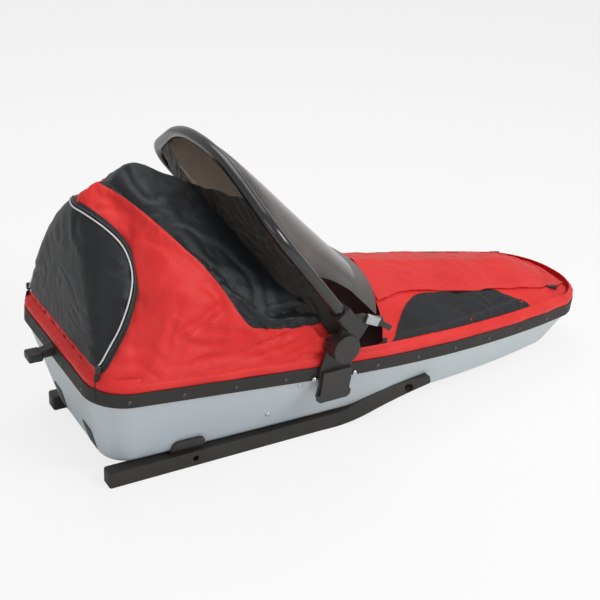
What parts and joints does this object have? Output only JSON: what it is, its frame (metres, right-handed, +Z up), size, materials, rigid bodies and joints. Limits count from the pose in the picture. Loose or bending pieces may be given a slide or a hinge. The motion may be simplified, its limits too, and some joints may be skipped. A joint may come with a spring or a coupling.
{
  "type": "child carrier pulk",
  "caption": "Child carrier pulk: moulded sled tub on two runners with a zipped luggage hood, a foot cover and a smoky windscreen on a tilting hoop.",
  "frame": {"origin": "on the snow under the middle of the sled's length", "axes": "+X to the bow, +Y to the left side, +Z up"},
  "size_m": [1.4576, 0.6182, 0.6765],
  "materials": {
    "hull_plastic": "satin moulded polyethylene",
    "edge_rubber": "matt edge profile",
    "red_fabric": "coated ripstop",
    "black_fabric": "coated plain weave",
    "seat_fabric": "padded plain weave",
    "webbing": "woven belt",
    "runner_plastic": "moulded polyethylene",
    "black_plastic": "moulded nylon",
    "strip_plastic": "satin sheet",
    "smoky_pane": "smoky clear sheet",
    "hoop_coating": "black coated tube",
    "lever_metal": "cast lever with a black grip"
  },
  "bodies": {
    "sled": {"hull": "hull_plastic", "rim_strip": "edge_rubber", "skirt": "red_fabric", "stern_block": "black_plastic", "stern_pad_right": "runner_plastic", "stern_pad_left": "runner_plastic", "bow_cleat_right": "runner_plastic", "bow_cleat_left": "runner_plastic", "runner_right": "runner_plastic", "runner_left": "runner_plastic", "runner_tab_right": "runner_plastic", "runner_tab_left": "runner_plastic", "bracket_right": "black_plastic", "bracket_left": "black_plastic", "clip_right": "black_plastic", "clip_left": "black_plastic", "hood": "red_fabric", "hood_front": "black_fabric", "hatch": "black_fabric", "foot_cover": "red_fabric", "side_panel_right": "black_fabric", "side_panel_left": "black_fabric", "seat_cushion": "seat_fabric", "back_cushion": "seat_fabric", "harness": "webbing"},
    "windscreen": {"hoop": "hoop_coating", "elbow_right": "black_plastic", "elbow_left": "black_plastic", "knob_right": "black_plastic", "knob_left": "black_plastic", "pane": "smoky_pane", "screen_strip": "strip_plastic", "lever_right": "lever_metal", "lever_left": "lever_metal"}
  },
  "joints": [
    {"name": "windscreen_tilt", "type": "hinge", "parent": "sled", "child": "windscreen", "pos_m": [-0.13375, 0, 0.269], "axis": [0, 1, 0], "range_deg": [0, 40]}
  ]
}
